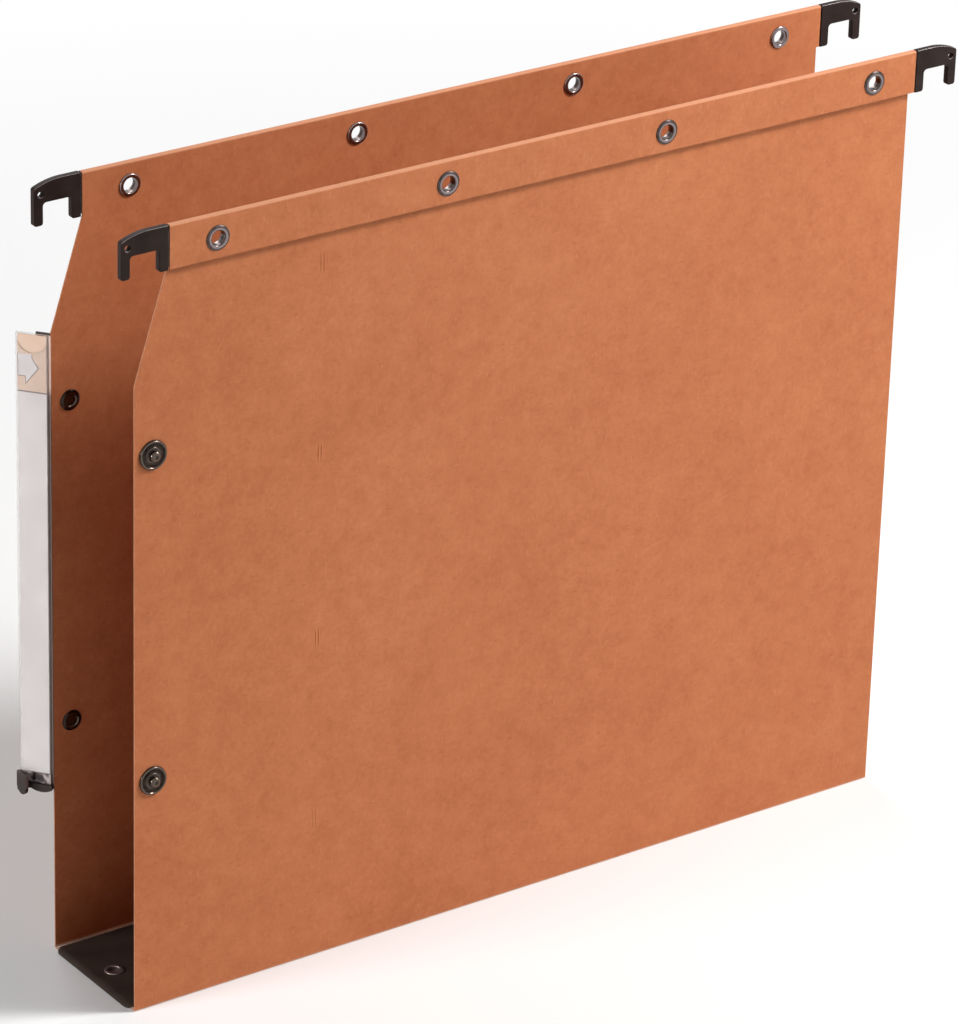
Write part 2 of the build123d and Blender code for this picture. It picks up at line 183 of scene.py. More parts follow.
kraftCard = pressboard("kraftPressboardCalendered", cardLook["face"], True)
cutCard = pressboard("kraftPressboardSheared", cardLook["edge"], False)  # opened fibres: greyer


# Moulded nylon and polystyrene, and sheet polypropylene

plasticLook = {
    "cloud": 9.0, "relief": 0.012, "bump": 0.35,  # mm, mm and share
    "shadesAt": (0.35, 0.68), "smoother": 0.06, "rougher": 0.08,  # by how much the roughness varies
    "hook": {"shades": ("2C2321", "352B28"), "rough": 0.42, "gloss": 0.04, "grain": 0.28},
    # pale shades for the painted highlight along the hooks' upper edges
    "wearAndPaintedLight": {"shades": ("8A7C78", "9A8C88"), "rough": 0.3, "gloss": 0.6, "grain": 0.28},
    "carrier": {"shades": ("2E2623", "3A302C"), "rough": 0.4, "gloss": 0.2, "grain": 0.28},
    "plate": {"shades": ("3C322E", "483D36"), "rough": 0.55, "gloss": 0.08, "grain": 0.7},
}  # each grain is in mm, and coarser than the real one, so that it shows


def blackPlastic(name, finish):
    # Spark-eroded tools and embossing rollers leave a fine even grain: satin, a little browner than black
    look = plasticLook
    material, tree, place = newMaterial(name)
    cloud = addNode(tree, "ShaderNodeTexNoise",
                    {"Vector": place, "Scale": perMm(look["cloud"]), "Detail": 3.0})
    colour = addNode(tree, "ShaderNodeValToRGB", {"Fac": cloud}, zip(look["shadesAt"], finish["shades"]))
    rough = addNode(tree, "ShaderNodeMapRange", {
        0: cloud, 1: noiseLow, 2: noiseHigh,
        3: finish["rough"] - look["smoother"], 4: finish["rough"] + look["rougher"]})
    grain = addNode(tree, "ShaderNodeTexNoise",
                    {"Vector": place, "Scale": perMm(finish["grain"]), "Detail": 2.0})
    bump = addNode(tree, "ShaderNodeBump",
                   {"Strength": look["bump"], "Distance": look["relief"] * mm, "Height": grain})
    shader = addNode(tree, "ShaderNodeBsdfPrincipled", {
        "Base Color": colour, "Roughness": rough, "Normal": bump, "Specular IOR Level": finish["gloss"]})
    addNode(tree, "ShaderNodeOutputMaterial", {"Surface": shader})
    return material


hookNylon = blackPlastic("nylonMouldedBlack", plasticLook["hook"])  # hardly a highlight
edgeHighlightNylon = blackPlastic("nylonMouldedEdgeHighlight", plasticLook["wearAndPaintedLight"])  # painted highlight along the upper edges: paler and glossier
carrierStyrene = blackPlastic("polystyreneMouldedBlack", plasticLook["carrier"])  # a little shinier
plateSheet = blackPlastic("polypropyleneEmbossedBlack", plasticLook["plate"])  # coarser grain: dull


# Plated and blackened metal

metalLook = {
    "tarnish": 1.6, "relief": 0.006, "bump": 0.3,  # mm, mm and share
    "draw": 0.22,  # mm, coarser than real drawing marks, so that they show
    "cloudShare": 0.5, "shadesAt": (0.2, 0.9),  # where dull metal, with painted shade, and bright metal, worn and with painted highlight, stand
    "nickel": {"shades": ("332720", "8C8080"), "rough": 0.17, "spread": 0.08},
    "bronze": {"shades": ("231C18", "5E534B"), "rough": 0.18, "spread": 0.08},
    "lacquer": {"shades": ("3A3230", "857A76"), "rough": 0.38, "spread": 0.1},
    "zinc": {"shades": ("8E9092", "B9BBBC"), "rough": 0.36, "spread": 0.1},
}


def platedMetal(name, finish):
    # Pressed from strip and barrel plated: bright where worn and where a highlight is painted, dull in
    # hollows and where shade is painted
    look = metalLook
    material, tree, place = newMaterial(name)
    cloud = addNode(tree, "ShaderNodeTexNoise",
                    {"Vector": place, "Scale": perMm(look["tarnish"]), "Detail": 4.0})
    wearAndPaintedLight = addNode(tree, "ShaderNodeAttribute", attribute_name="wearAndPaintedLight").outputs["Fac"]
    wearAndLight = addNode(tree, "ShaderNodeMath",
                   {0: cloud, 1: look["cloudShare"], 2: wearAndPaintedLight}, operation="MULTIPLY_ADD")
    colour = addNode(tree, "ShaderNodeValToRGB", {"Fac": wearAndLight}, zip(look["shadesAt"], finish["shades"]))
    rough = addNode(tree, "ShaderNodeMapRange", {
        0: cloud, 1: noiseLow, 2: noiseHigh, 3: finish["rough"] + finish["spread"], 4: finish["rough"]})
    draw = addNode(tree, "ShaderNodeTexNoise",
                   {"Vector": place, "Scale": perMm(look["draw"]), "Detail": 1.0})
    bump = addNode(tree, "ShaderNodeBump",
                   {"Strength": look["bump"], "Distance": look["relief"] * mm, "Height": draw})
    shader = addNode(tree, "ShaderNodeBsdfPrincipled", {
        "Base Color": colour, "Roughness": rough, "Normal": bump, "Metallic": 1.0})
    addNode(tree, "ShaderNodeOutputMaterial", {"Surface": shader})
    return material


eyeletNickel = platedMetal("brassNickelPlated", metalLook["nickel"])  # glints on a grey ring, painted bright on its crest and dark on its flank
studBronze = platedMetal("brassBlackened", metalLook["bronze"])  # nearly black, with small glints
rivetLacquer = platedMetal("brassLacquered", metalLook["lacquer"])  # dark, with a soft sheen
railZinc = platedMetal("steelZincPlated", metalLook["zinc"])  # pale and dull


# Clear film and printed paper

filmLook = {
    "wall": ("E8E6E4", "F4F3F2"), "haze": 6.0,  # mm
    "ior": 1.53, "rough": 0.08,
    "blend": 0.35, "faceOn": 0.1, "edgeOn": 0.95,  # how far the wall is turned from the eye
    "faceShows": 0.1, "edgeShows": 0.7,  # how much of it shows then
    "crimpReflection": ("3A302F", "9A8C8A", "DCD0CE", "6A5E5C"), "crimpAt": (0.38, 0.47, 0.55, 0.66),
    "crimpHigh": 3.8, "crumple": 5.0, "crimpShows": 0.8,  # mm above the foot, mm of the painted reflections' crumples, and share
    "sheared": ("6E625C", "B9AFA9"), "shearedAt": (0.35, 0.65), "shear": 1.2,  # mm
    "shearedRough": 0.3, "shearedShows": 0.85,
    # painted shade and painted reflection on the carrier's face beside the sleeve; black at its top
    "spineShades": ("74645E", "8A766E", "D8BCAF", "E2C8BB", "2A201D"), "spineShadesAt": (0.0, 0.26, 0.34, 0.975, 0.99),
    "spineShadesLong": 30.0, "above": 0.5,  # mm below and above the sleeve's end that these painted shades span
    "spineSmooth": 0.3, "spineRough": 0.5, "spineGloss": 0.2,
}


def clearFilm():
    # Extruded clear PVC: glossy, milkier where it is seen edge on, with painted dark and bright reflections
    # at its crimped foot
    look = filmLook
    material, tree, place = newMaterial("pvcExtrudedClear")
    haze = addNode(tree, "ShaderNodeTexNoise",
                   {"Vector": place, "Scale": perMm(look["haze"]), "Detail": 2.0})
    colour = addNode(tree, "ShaderNodeValToRGB", {"Fac": haze}, zip((noiseLow, noiseHigh), look["wall"]))
    facing = addNode(tree, "ShaderNodeLayerWeight", {"Blend": look["blend"]}).outputs["Facing"]
    clear = addNode(tree, "ShaderNodeMapRange", {
        0: facing, 1: look["faceOn"], 2: look["edgeOn"], 3: look["faceShows"], 4: look["edgeShows"]})
    # painted reflections on the crumpled foot, fairly opaque
    fold = addNode(tree, "ShaderNodeTexNoise", {
        "Vector": place, "Scale": perMm(look["crumple"]), "Detail": 1.0, "Distortion": 1.0})
    crimpReflection = addNode(tree, "ShaderNodeValToRGB", {"Fac": fold}, zip(look["crimpAt"], look["crimpReflection"]))
    height = addNode(tree, "ShaderNodeSeparateXYZ", {0: place}).outputs["Z"]
    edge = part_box("label_sleeve")[0].z + look["crimpHigh"] * mm
    low = addNode(tree, "ShaderNodeMath", {0: height, 1: edge}, operation="LESS_THAN")
    colour = addNode(tree, "ShaderNodeMixRGB", {"Fac": low, "Color1": colour, "Color2": crimpReflection})
    alpha = addNode(tree, "ShaderNodeMapRange", {0: low, 3: clear, 4: look["crimpShows"]})
    shader = addNode(tree, "ShaderNodeBsdfPrincipled", {
        "Base Color": colour, "Alpha": alpha, "Roughness": look["rough"], "IOR": look["ior"]})
    addNode(tree, "ShaderNodeOutputMaterial", {"Surface": shader})
    return material


def filmEdge():
    # Where the film is sheared it scatters the light and looks smoky
    look = filmLook
    material, tree, place = newMaterial("pvcSheared")
    haze = addNode(tree, "ShaderNodeTexNoise",
                   {"Vector": place, "Scale": perMm(look["shear"]), "Detail": 2.0})
    colour = addNode(tree, "ShaderNodeValToRGB", {"Fac": haze}, zip(look["shearedAt"], look["sheared"]))
    shader = addNode(tree, "ShaderNodeBsdfPrincipled", {
        "Base Color": colour, "Alpha": look["shearedShows"], "Roughness": look["shearedRough"],
        "IOR": look["ior"]})
    addNode(tree, "ShaderNodeOutputMaterial", {"Surface": shader})
    return material


def paintedSpineLight():
    # The carrier's face beside the sleeve: painted shade, grey-brown, lower down, a pale painted reflection
    # towards its upper end, and its own black at the very top
    look = filmLook
    material, tree, place = newMaterial("carrierSpinePaintedLight")
    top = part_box("label_sleeve")[1].z
    height = addNode(tree, "ShaderNodeSeparateXYZ", {0: place}).outputs["Z"]
    share = addNode(tree, "ShaderNodeMapRange",
                    {0: height, 1: top - look["spineShadesLong"] * mm, 2: top + look["above"] * mm})
    colour = addNode(tree, "ShaderNodeValToRGB", {"Fac": share}, zip(look["spineShadesAt"], look["spineShades"]))
    haze = addNode(tree, "ShaderNodeTexNoise",
                   {"Vector": place, "Scale": perMm(look["shear"]), "Detail": 2.0})
    rough = addNode(tree, "ShaderNodeMapRange", {
        0: haze, 1: noiseLow, 2: noiseHigh, 3: look["spineSmooth"], 4: look["spineRough"]})
    shader = addNode(tree, "ShaderNodeBsdfPrincipled", {
        "Base Color": colour, "Roughness": rough, "Specular IOR Level": look["spineGloss"]})
    addNode(tree, "ShaderNodeOutputMaterial", {"Surface": shader})
    return material


paperLook = {
    "white": ("E4DCDC", "EDE6E6"), "peach": ("E3C4AE", "EACFBB"), "line": ("7C6A66", "84726E"),
    "cloud": 12.0, "relief": 0.01, "bump": 0.3, "rough": 0.8, "gloss": 0.3,  # mm, mm and shares
    "tooth": 0.3,  # mm, coarser than the real one, so that it shows
}


def printedPaper(name, shades):
    # Uncoated paper: soft, with a slight lilac cast and a fine tooth that dulls the print
    look = paperLook
    material, tree, place = newMaterial(name)
    cloud = addNode(tree, "ShaderNodeTexNoise",
                    {"Vector": place, "Scale": perMm(look["cloud"]), "Detail": 3.0})
    colour = addNode(tree, "ShaderNodeValToRGB", {"Fac": cloud}, zip((noiseLow, noiseHigh), shades))
    tooth = addNode(tree, "ShaderNodeTexNoise",
                    {"Vector": place, "Scale": perMm(look["tooth"]), "Detail": 2.0})
    bump = addNode(tree, "ShaderNodeBump",
                   {"Strength": look["bump"], "Distance": look["relief"] * mm, "Height": tooth})
    shader = addNode(tree, "ShaderNodeBsdfPrincipled", {
        "Base Color": colour, "Normal": bump, "Roughness": look["rough"],
        "Specular IOR Level": look["gloss"]})
    addNode(tree, "ShaderNodeOutputMaterial", {"Surface": shader})
    return material


sleeveFilm = clearFilm()
shearedFilm = filmEdge()
spinePaintedLight = paintedSpineLight()
labelPaper = printedPaper("paperUncoatedWhite", paperLook["white"])
labelPeach = printedPaper("paperUncoatedPeachPrint", paperLook["peach"])
labelInk = printedPaper("paperUncoatedGreyPrint", paperLook["line"])
print("materials: ", len(bpy.data.materials))


# Meshes

meshSet = {
    "weld": 0.002,  # mm within which corners are one
    "flat": 1.0, "hard": 35.0,  # degrees between faces that are one, and past which an edge is rounded
    "rings": 3,  # faces across a rounding
    "sharp": 30.0,  # degrees past which an edge shows
}


def newPiece(name, mesh, body, slotName, *replaced):
    piece = bpy.data.objects.new(name, mesh)
    scene.collection.objects.link(piece)
    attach(piece, body)
    if replaced:
        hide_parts(*replaced)


def smoothByAngle(mesh, degrees):
    mesh.shade_smooth()
    mesh.set_sharp_from_angle(angle=math.radians(degrees))


def meshFrom(form, name, sharpAngle):
    bmesh.ops.recalc_face_normals(form, faces=form.faces)
    mesh = bpy.data.meshes.new(name)
    form.to_mesh(mesh)
    form.free()
    smoothByAngle(mesh, sharpAngle)
    return mesh


def mergedCopy(node, name):  # the CAD triangles, joined at their corners
    mesh = nodes[node].data.copy()
    mesh.name = name
    form = bmesh.new()
    form.from_mesh(mesh)
    bmesh.ops.remove_doubles(form, verts=form.verts, dist=meshSet["weld"] * mm)
    form.to_mesh(mesh)
    form.free()
    if mesh.has_custom_normals:
        mesh.attributes.remove(mesh.attributes["custom_normal"])
    mesh.materials.clear()
    return mesh


def evaluatedMesh(holder, name):
    view = bpy.context.evaluated_depsgraph_get()
    mesh = bpy.data.meshes.new_from_object(holder.evaluated_get(view))
    mesh.name = name
    bpy.data.objects.remove(holder)
    return mesh


def easedCopy(node, name, width, material):  # the CAD form with its hard edges rounded
    mesh = mergedCopy(node, name)
    form = bmesh.new()
    form.from_mesh(mesh)
    bmesh.ops.dissolve_limit(
        form, angle_limit=math.radians(meshSet["flat"]), verts=form.verts, edges=form.edges)
    form.to_mesh(mesh)
    form.free()
    mesh.materials.append(material)
    mesh.shade_smooth()
    holder = bpy.data.objects.new(name + "Holder", mesh)
    scene.collection.objects.link(holder)
    edge = holder.modifiers.new("ease", "BEVEL")
    edge.width = width * mm
    edge.segments = meshSet["rings"]
    edge.limit_method = "ANGLE"
    edge.angle_limit = math.radians(meshSet["hard"])
    holder.modifiers.new("flatten", "WEIGHTED_NORMAL")  # large faces stay flat to the light
    return evaluatedMesh(holder, name)


# Turned pieces: an outline of radius, height and rounding in mm and a share from dull to bright, for wear
# and painted light, spun about its axis

turnedSet = {"sides": 64, "steps": 5, "sharp": 50.0, "onAxis": 0.001}  # counts, degrees and mm
turnedTo = {
    "front": Matrix.Rotation(math.radians(90), 3, "X"),
    "back": Matrix.Rotation(math.radians(-90), 3, "X"),
    "up": Matrix.Identity(3),
}


def roundCorners(corners):
    points = []
    for i, (radius, height, rounding, wearAndPaintedLight) in enumerate(corners):
        corner = Vector((radius, height))
        if rounding == 0:
            points.append((corner, wearAndPaintedLight))
            continue
        before = Vector(corners[i - 1][:2])
        after = Vector(corners[(i + 1) % len(corners)][:2])
        start = corner + (before - corner).normalized() * rounding
        end = corner + (after - corner).normalized() * rounding
        for step in range(turnedSet["steps"] + 1):
            t = step / turnedSet["steps"]
            points.append((start * (1 - t) ** 2 + corner * 2 * t * (1 - t) + end * t ** 2, wearAndPaintedLight))
    return points


def turnedMesh(name, corners, facing):
    sides = turnedSet["sides"]
    form = bmesh.new()
    wearAndLight = form.verts.layers.float.new("wearAndPaintedLight")
    rings = []
    for point, wearAndPaintedLight in roundCorners(corners):
        around = 1 if point.x < turnedSet["onAxis"] else sides
        angles = [2 * math.pi * side / sides for side in range(around)]
        spots = [Vector((point.x * math.cos(a), point.x * math.sin(a), point.y)) for a in angles]
        rings.append([form.verts.new(turnedTo[facing] @ spot * mm) for spot in spots])
        for vertex in rings[-1]:
            vertex[wearAndLight] = wearAndPaintedLight
    for i, ring in enumerate(rings):
        after = rings[(i + 1) % len(rings)]
        if len(ring) == 1 and len(after) == 1:
            continue
        for side in range(sides):
            loop = [ring[side % len(ring)], ring[(side + 1) % len(ring)],
                    after[(side + 1) % len(after)], after[side % len(after)]]
            form.faces.new(list(dict.fromkeys(loop)))
    return meshFrom(form, name, turnedSet["sharp"])


# Rows of equal pieces: a line of points carries the source mesh

def rowTree():
    tree = bpy.data.node_groups.new("rowOfPieces", "GeometryNodeTree")
    sockets = (
        ("Source", "INPUT", "NodeSocketObject"), ("Count", "INPUT", "NodeSocketInt"),
        ("Start", "INPUT", "NodeSocketVector"), ("Step", "INPUT", "NodeSocketVector"),
        ("Finish", "INPUT", "NodeSocketMaterial"), ("Pieces", "OUTPUT", "NodeSocketGeometry"),
    )
    for label, way, kind in sockets:
        tree.interface.new_socket(label, in_out=way, socket_type=kind)
    given = addNode(tree, "NodeGroupInput").outputs
    line = addNode(tree, "GeometryNodeMeshLine",
                   {"Count": given["Count"], "Start Location": given["Start"], "Offset": given["Step"]},
                   mode="OFFSET")
    source = addNode(tree, "GeometryNodeObjectInfo", {"Object": given["Source"]}).outputs["Geometry"]
    placed = addNode(tree, "GeometryNodeInstanceOnPoints", {"Points": line, "Instance": source})
    real = addNode(tree, "GeometryNodeRealizeInstances", {"Geometry": placed})
    painted = addNode(tree, "GeometryNodeSetMaterial", {"Geometry": real, "Material": given["Finish"]})
    addNode(tree, "NodeGroupOutput", {"Pieces": painted})
    return tree


rowOfPieces = rowTree()


def rowMesh(name, sourceMesh, count, start, step, material):
    source = bpy.data.objects.new(name + "Source", sourceMesh)
    scene.collection.objects.link(source)
    holder = bpy.data.objects.new(name + "Holder", bpy.data.meshes.new(name + "Holder"))
    scene.collection.objects.link(holder)
    maker = holder.modifiers.new("row", "NODES")
    maker.node_group = rowOfPieces
    wanted = {"Source": source, "Count": count, "Start": start, "Step": step, "Finish": material}
    for item in rowOfPieces.interface.items_tree:
        if item.in_out == "INPUT":
            maker[item.identifier] = wanted[item.name]
    mesh = evaluatedMesh(holder, name)
    bpy.data.objects.remove(source)
    return mesh


# Card panels: the folded sheet, with its sheared edges greyer than its faces

cardSet = {"edgeShare": 0.55, "lowerEdge": 0.9, "crease": 2.0}  # how far a face turns aside or down, and mm


def cardPanel(node, body):
    mesh = mergedCopy(node, node + "_sheet")
    mesh.materials.append(kraftCard)
    mesh.materials.append(cutCard)
    for face in mesh.polygons:
        sideways = abs(face.normal.x) > cardSet["edgeShare"]
        hemEdge = face.normal.z < -cardSet["lowerEdge"] and face.center.z > cardSet["crease"] * mm
        face.material_index = 1 if sideways or hemEdge else 0
    smoothByAngle(mesh, meshSet["sharp"])
    newPiece(node + "_sheet", mesh, body, "card", node)


cardPanel("base_card", "base")
cardPanel("front_panel", "front_side")
cardPanel("back_panel", "back_side")
for node in ("front_rail", "back_rail"):
    nodes[node].data.materials.clear()
    nodes[node].data.materials.append(railZinc)
print("card: two panels and the base")


# Embossed marks: pairs of short low ridges in a column down the front panel

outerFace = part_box("front_snap_studs")[1].y
dashSet = {
    "column": -94.4, "top": 263.2, "pitch": 69.6, "count": 4,  # mm
    "long": 7.4, "wide": 0.7, "apart": 1.2, "relief": 0.18, "sunk": 0.05,  # mm
    "across": 7, "lengthwise": 13, "blunt": 8, "sharp": 60.0,  # points, power that blunts the ends, degrees
}


def dashPair():
    s = dashSet
    form = bmesh.new()
    for shift in (-s["apart"] / 2, s["apart"] / 2):
        grid = []
        for i in range(s["lengthwise"]):
            row = []
            end = 2 * i / (s["lengthwise"] - 1) - 1
            for j in range(s["across"]):
                side = 2 * j / (s["across"] - 1) - 1
                rise = s["relief"] * math.cos(math.pi / 2 * side) * (1 - end ** s["blunt"]) - s["sunk"]
                spot = Vector((shift + side * s["wide"] / 2, -rise, end * s["long"] / 2))
                row.append(form.verts.new(spot * mm))
            grid.append(row)
        for i in range(s["lengthwise"] - 1):
            for j in range(s["across"] - 1):
                form.faces.new((grid[i][j], grid[i][j + 1], grid[i + 1][j + 1], grid[i + 1][j]))
        rim = grid[0] + [row[-1] for row in grid[1:]] + grid[-1][-2::-1] + [row[0] for row in grid[-2:0:-1]]
        form.faces.new(rim)
    return meshFrom(form, "dashPair", s["sharp"])


dashStart = (dashSet["column"] * mm, outerFace, dashSet["top"] * mm)
dashStep = (0, 0, -dashSet["pitch"] * mm)
dashes = rowMesh("front_panel_dashes", dashPair(), dashSet["count"], dashStart, dashStep, kraftCard)
newPiece("front_panel_dashes", dashes, "front_side", "card")
print("embossing: ", dashSet["count"], "pairs")


# Hooks, base plate and label carrier keep their forms and get eased edges

easedSet = {  # mm of rounding, finish, body, slot
    "front_left_hook": (0.4, hookNylon, "front_side", "hook_plastic"),
    "front_right_hook": (0.4, hookNylon, "front_side", "hook_plastic"),
    "back_left_hook": (0.4, hookNylon, "back_side", "hook_plastic"),
    "back_right_hook": (0.4, hookNylon, "back_side", "hook_plastic"),
    "base_plate": (0.2, plateSheet, "base", "black_board"),
    "label_carrier": (0.18, carrierStyrene, "back_side", "hook_plastic"),
}
edgeHighlightSet = {"upward": 0.35, "aside": 0.35}  # how far a highlighted edge's face turns up, and to the front or back


def paintEdgeHighlights(mesh):  # the upper front and back edges, painted paler where the highlight falls
    mesh.materials.append(edgeHighlightNylon)
    for face in mesh.polygons:
        if face.normal.z > edgeHighlightSet["upward"] and abs(face.normal.y) > edgeHighlightSet["aside"]:
            face.material_index = 1


eased = {}
for node, (width, material, body, slotName) in easedSet.items():
    eased[node] = easedCopy(node, node + "_moulded", width, material)
    if material == hookNylon:
        paintEdgeHighlights(eased[node])
    newPiece(node + "_moulded", eased[node], body, slotName, node)
print("plastic: ", len(easedSet), "pieces")


# Eyelets: rolled flange outside, curl inside

eyeletSet = {
    "count": 4, "bore": 2.6, "tube": 2.9, "curl": 4.1, "height": 0.6, "rolled": 0.55,  # mm
    "lip": 0.3, "crest": 3.25, "flank": 3.95, "flankHigh": 0.46, "rim": 0.12, "soft": 0.34,  # mm
    # how bright each part is: painted highlight on the crest, painted shade on the flank and down the bore
    "lipBright": 0.2, "crestBright": 0.8, "flankBright": 0.12, "curlBright": 0.6,
}


def eyeletRow(node, body, facing):
    s = eyeletSet
    low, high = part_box(node)
    flange = (high.z - low.z) / 2 / mm
    grip = (high.y - low.y) / mm - 2 * s["height"]
    corners = (
        (s["bore"], -grip / 2, 0, 0),
        (s["bore"], s["lip"], s["soft"], s["lipBright"]),
        (s["crest"], s["height"], s["soft"], s["crestBright"]),
        (s["flank"], s["flankHigh"], s["soft"], s["flankBright"]),
        (flange, s["rim"], 0, 0),
        (flange, 0, 0, 0),
        (s["tube"], 0, 0, 0),
        (s["tube"], -grip, 0, 0),
        (s["curl"], -grip, 0, 0),
        (s["curl"], -grip - s["height"], s["rolled"], s["curlBright"]),
        (s["bore"], -grip - s["height"], s["rolled"], s["curlBright"]),
    )
    mesh = turnedMesh(node + "Turned", corners, facing)
    pitch = (high.x - low.x - 2 * flange * mm) / (s["count"] - 1)
    seat = low.y + s["height"] * mm if facing == "front" else high.y - s["height"] * mm
    start = (low.x + flange * mm, seat, (low.z + high.z) / 2)
    row = rowMesh(node + "_rolled", mesh, s["count"], start, (pitch, 0, 0), eyeletNickel)
    newPiece(node + "_rolled", row, body, "nickel", node)


eyeletRow("front_eyelets", "front_side", "front")
eyeletRow("back_eyelets", "back_side", "back")
print("eyelets: ", 2 * eyeletSet["count"])


# Snap fasteners and rivets: pairs of turned pieces

# Post head: a painted highlight on the small dome in its dimple, painted shade on its outer flank
postHead = (
    (1.2, 0, 0, 0), (3.8, 0, 0, 0), (3.8, 0.3, 0.2, 0), (3.2, 0.64, 0.26, 0.1), (2.7, 0.8, 0.25, 0.7),
    (2.2, 0.78, 0.2, 0.5), (1.9, 0.32, 0.15, 0.2), (1.1, 0.5, 0.5, 0.8), (0, 0.62, 0, 1),
)
fastenerSet = {  # body, side it faces, finish, slot, outline
    "front_snap_studs": ("front_side", "front", studBronze, "gunmetal", (
        (0, 0, 0, 0), (5.3, 0, 0, 0), (5.3, 0.5, 0.25, 0.2),
        (4.95, 0.82, 0.2, 0.8), (4.55, 0.82, 0.18, 0.6), (4.25, 0.42, 0.25, 0), (3.0, 0.36, 0.25, 0.1),
        (2.7, 0.64, 0.15, 0.6), (2.35, 0.64, 0.15, 0.3), (1.75, 0.8, 0.15, 0), (2.0, 1.35, 0.2, 0.2),
        (2.0, 2.1, 0.45, 0.5), (1.1, 2.7, 0.34, 0.8), (0.55, 2.45, 0.25, 0.2), (0, 2.4, 0, 0))),
    "front_snap_posts": ("front_side", "back", studBronze, "gunmetal",
                         ((0, -1.3, 0, 0), (1.2, -1.3, 0, 0)) + postHead),
    "back_snap_posts": ("back_side", "front", studBronze, "gunmetal",
                        ((0, -1.8, 0, 0), (1.2, -1.8, 0, 0)) + postHead),
    "back_snap_sockets": ("back_side", "back", studBronze, "gunmetal", (
        (1.3, 0, 0, 0), (5.3, 0, 0, 0), (5.3, 0.55, 0.3, 0.4), (4.2, 1.0, 0.5, 0.1), (3.8, 3.0, 0.5, 0.7),
        (2.3, 3.0, 0.3, 0.7), (2.3, 2.2, 0, 0), (3.1, 2.2, 0, 0), (3.1, 0.5, 0, 0), (1.3, 0.5, 0, 0))),
    "back_socket_springs": ("back_side", "back", railZinc, "spring_steel", (
        (2.35, 1.0, 0.34, 0), (3.05, 1.0, 0.34, 0), (3.05, 1.7, 0.34, 0), (2.35, 1.7, 0.34, 0))),
    # rivet: its floor painted lighter than the bore wall, and its flange top painted bright, as sheen
    "base_rivets": ("base", "up", rivetLacquer, "gunmetal", (
        (0, 0, 0, 0), (3.4, 0, 0, 0), (3.4, 0.25, 0, 0), (2.5, 0.25, 0, 0), (2.5, 1.1, 0, 0),
        (3.4, 1.1, 0, 0.4), (3.4, 1.5, 0.3, 0.9), (2.2, 1.5, 0.3, 0.7), (2.2, 0.4, 0, 0.3),
        (0, 0.4, 0, 0.5))),
}
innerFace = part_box("front_panel")[1].y
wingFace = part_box("back_snap_sockets")[0].y
seats = {
    "front_snap_studs": outerFace, "front_snap_posts": innerFace, "back_snap_posts": -innerFace,
    "back_snap_sockets": wingFace, "back_socket_springs": wingFace,
}
for node, (body, facing, material, slotName, corners) in fastenerSet.items():
    low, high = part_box(node)
    mesh = turnedMesh(node + "Turned", corners, facing)
    if facing == "up":
        radius = (high.y - low.y) / 2
        start = (low.x + radius, (low.y + high.y) / 2, low.z)
        step = (high.x - low.x - 2 * radius, 0, 0)
    else:
        radius = (high.x - low.x) / 2
        start = ((low.x + high.x) / 2, seats[node], low.z + radius)
        step = (0, 0, high.z - low.z - 2 * radius)
    pair = rowMesh(node + "_turned", mesh, 2, start, step, material)
    newPiece(node + "_turned", pair, body, slotName, node)
print("fasteners: ", len(fastenerSet), "pairs")


# Label: paper strip with a peach band and a plain arrow, in its clear sleeve

labelSet = {
    "slant": 51.0,  # degrees
    "start": 1.2, "width": 10.3, "front": 0.65, "thickness": 0.3,  # mm along the label and out of it
    "band": 21.2, "line": 0.5, "print": 0.03, "outline": 0.25,  # mm
    "arrowTop": 7.3, "shoulder": 8.8, "arrowMiddle": 12.0,  # mm below the top
    "arrowLow": 15.2, "wingLow": 17.7,  # mm below the top
    "tail": 11.2, "wing": 8.5, "crown": 6.4, "tip": 4.2,  # mm along the label
    "tipGrows": 1.5, "wingGrows": 0.5, "pointGrows": 2.5,  # times the outline, where the arrow is sharp
    "outwards": 0.5, "lengthways": 0.9,  # how far a face turns out of the label, and along it
}
paperAt, peachAt, inkAt = 0, 1, 2  # places among the strip's materials
slant = math.radians(labelSet["slant"])
corner = Vector((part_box("back_panel")[0].x, -outerFace, 0))
along = Vector((-math.cos(slant), math.sin(slant), 0))
outward = Vector((-math.sin(slant), -math.cos(slant), 0))


def labelPlate(form, outline, back, front, materialIndex):
    # A flat plate on the label: outline points are mm along it and metres up
    rear, face = ([form.verts.new(corner + along * x * mm + outward * out * mm + Vector((0, 0, z)))
                   for x, z in outline] for out in (back, front))
    made = [form.faces.new(face), form.faces.new(rear[::-1])]
    for i in range(len(outline)):
        j = (i + 1) % len(outline)
        made.append(form.faces.new((rear[i], rear[j], face[j], face[i])))
    for polygon in made:
        polygon.material_index = materialIndex


def arrowOutline(grow):  # points towards the panel, grown by some mm for its drawn line
    s = labelSet
    points = (
        (s["tail"] + grow, s["arrowLow"] + grow),
        (s["tail"] + grow, s["arrowTop"]),
        (s["crown"] - grow, s["arrowTop"]),
        (s["crown"] - grow, s["shoulder"]),
        (s["tip"] - s["tipGrows"] * grow, s["arrowMiddle"]),
        (s["wing"] + s["wingGrows"] * grow, s["wingLow"] + s["pointGrows"] * grow),
        (s["wing"] + grow, s["arrowLow"] + grow),
    )
    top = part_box("label_strip")[1].z
    return [(x, top - down * mm) for x, down in points]


